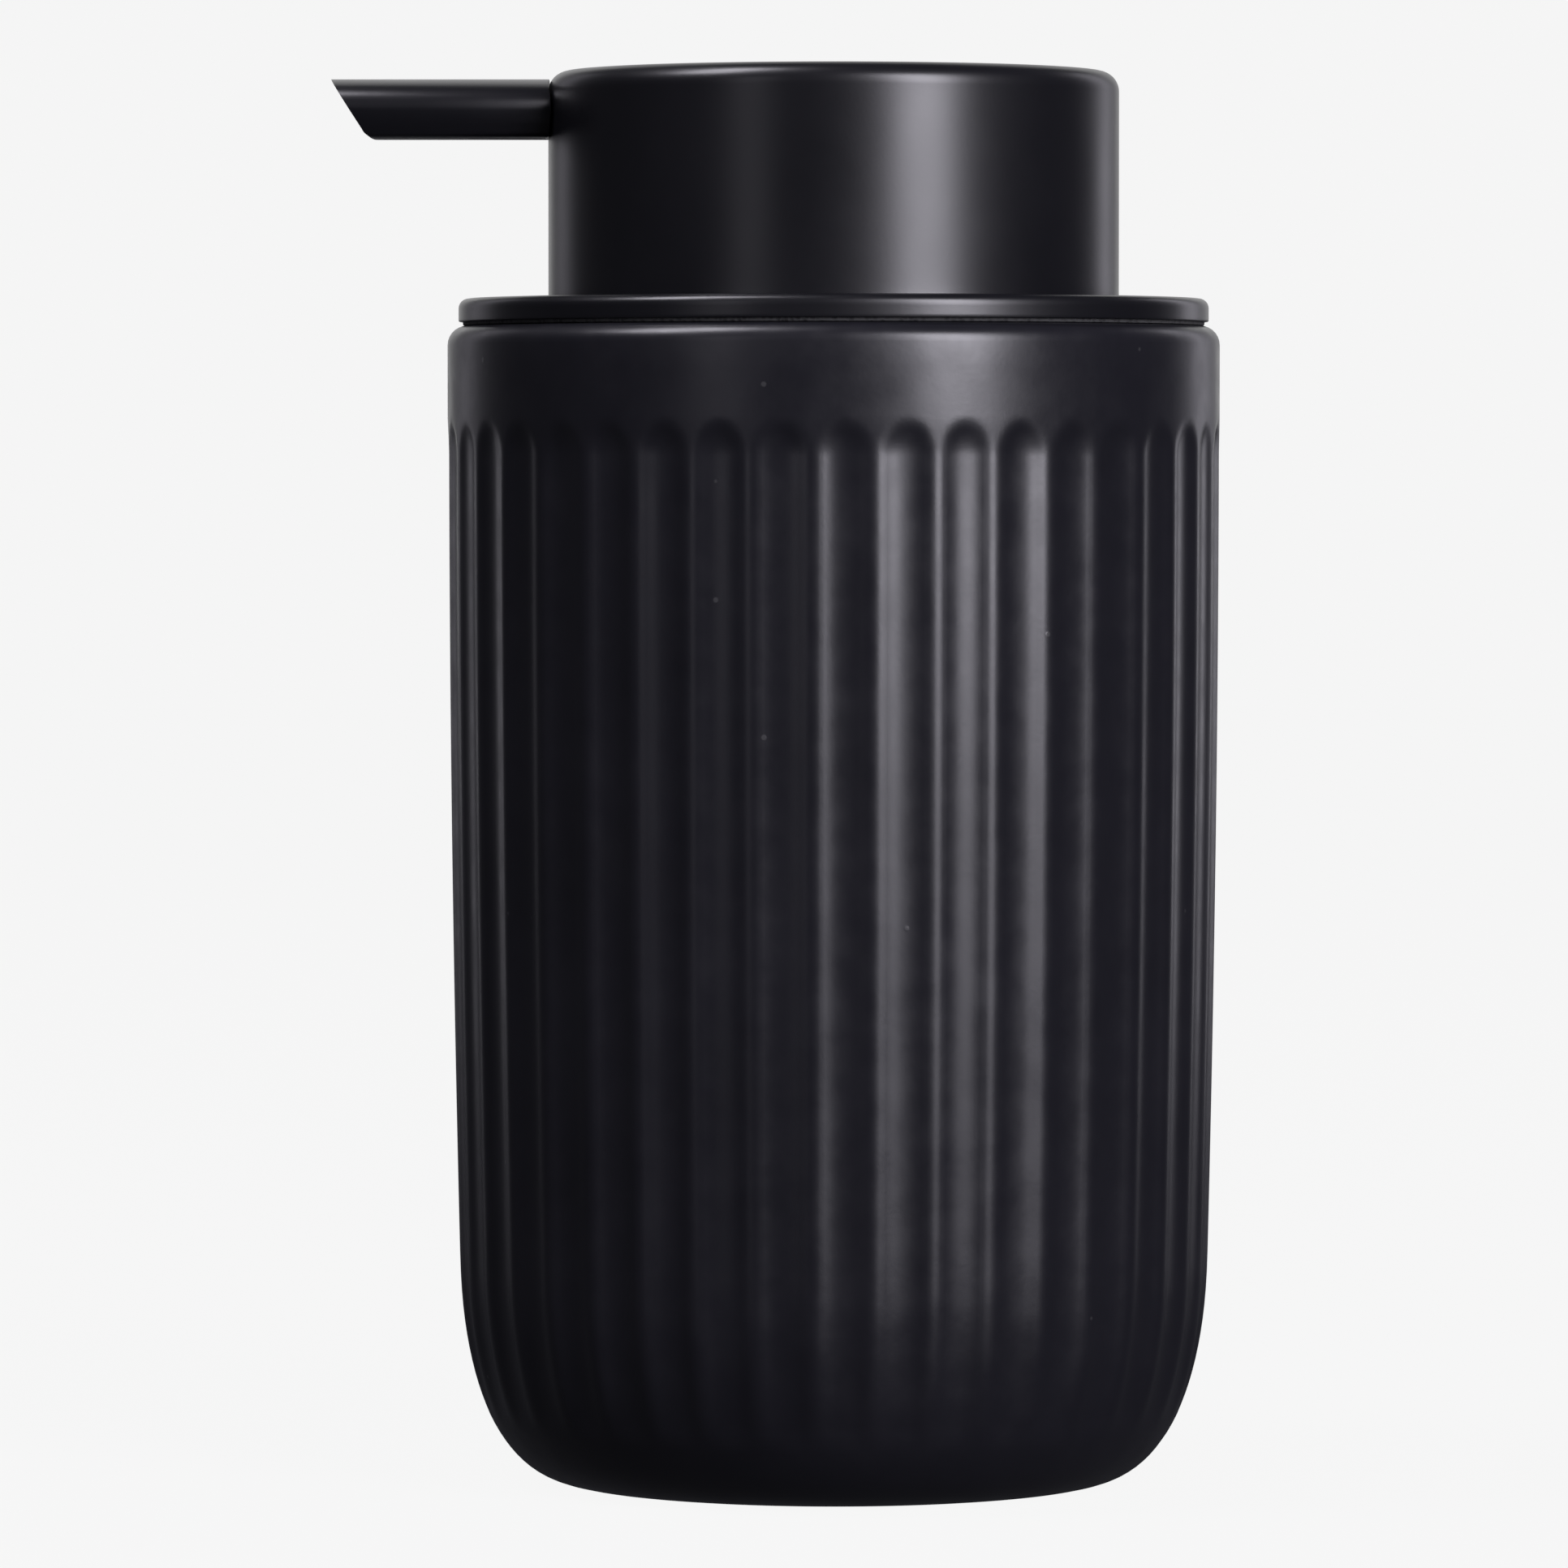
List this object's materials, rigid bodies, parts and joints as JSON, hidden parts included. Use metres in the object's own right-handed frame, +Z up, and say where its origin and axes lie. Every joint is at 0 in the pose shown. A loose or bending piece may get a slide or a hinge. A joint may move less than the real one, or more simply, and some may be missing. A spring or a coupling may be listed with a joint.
{
  "type": "soap pump dispenser",
  "caption": "Round fluted soap vessel with a push-fit lid, a wide plunging pump head, a flat-bottomed spout, and a spring piston pump with dip tube inside.",
  "frame": {"origin": "centre of the foot pad's underside, on the vessel's axis", "axes": "+Z up along the vessel's axis, -X towards the spout's tip"},
  "size_m": [0.092, 0.08, 0.1463],
  "materials": {
    "stoneware": "matt black glaze",
    "soft_black": "satin soft-touch black",
    "silicone": "smooth dark silicone",
    "pad_rubber": "matt foam rubber",
    "black_nylon": "fine texture",
    "white_plastic": "natural white, moulded",
    "clear_plastic": "translucent extruded tube",
    "piston_plastic": "waxy, slightly translucent",
    "steel": "drawn stainless wire and polished balls"
  },
  "bodies": {
    "vessel": {"vessel": "stoneware", "base_pad": "pad_rubber"},
    "lid": {"lid_disc": "soft_black", "mouth_seal": "silicone", "guide_well": "black_nylon", "cylinder_gasket": "silicone", "pump_cylinder": "white_plastic", "cylinder_nut": "black_nylon", "stem_collar": "white_plastic", "spring_seat": "white_plastic", "return_spring": "steel", "dip_tube": "clear_plastic"},
    "inlet_valve": {"inlet_ball": "steel"},
    "plunger": {"stem": "white_plastic", "piston_core": "white_plastic", "piston_cup": "piston_plastic"},
    "head": {"actuator_frame": "white_plastic", "head_shell": "soft_black", "retaining_ring": "black_nylon", "spout": "soft_black", "spout_seal": "silicone"},
    "outlet_valve": {"outlet_ball": "steel"}
  },
  "joints": [
    {"name": "lid_lift", "type": "slide", "parent": "vessel", "child": "lid", "axis": [0, 0, 1], "range_m": [0, 0.13]},
    {"name": "inlet_ball_lift", "type": "slide", "parent": "lid", "child": "inlet_valve", "axis": [0, 0, 1], "range_m": [0, 0.0015]},
    {"name": "pump_stroke", "type": "slide", "parent": "lid", "child": "plunger", "axis": [0, 0, -1], "range_m": [0, 0.012], "stiffness_N_per_m": 500, "springref_m": -0.008, "deforming": ["return_spring"]},
    {"name": "spout_swivel", "type": "hinge", "parent": "plunger", "child": "head", "pos_m": [0, 0, 0.1], "axis": [0, 0, 1], "continuous": true},
    {"name": "outlet_ball_lift", "type": "slide", "parent": "head", "child": "outlet_valve", "axis": [0, 0, 1], "range_m": [0, 0.0015]}
  ]
}
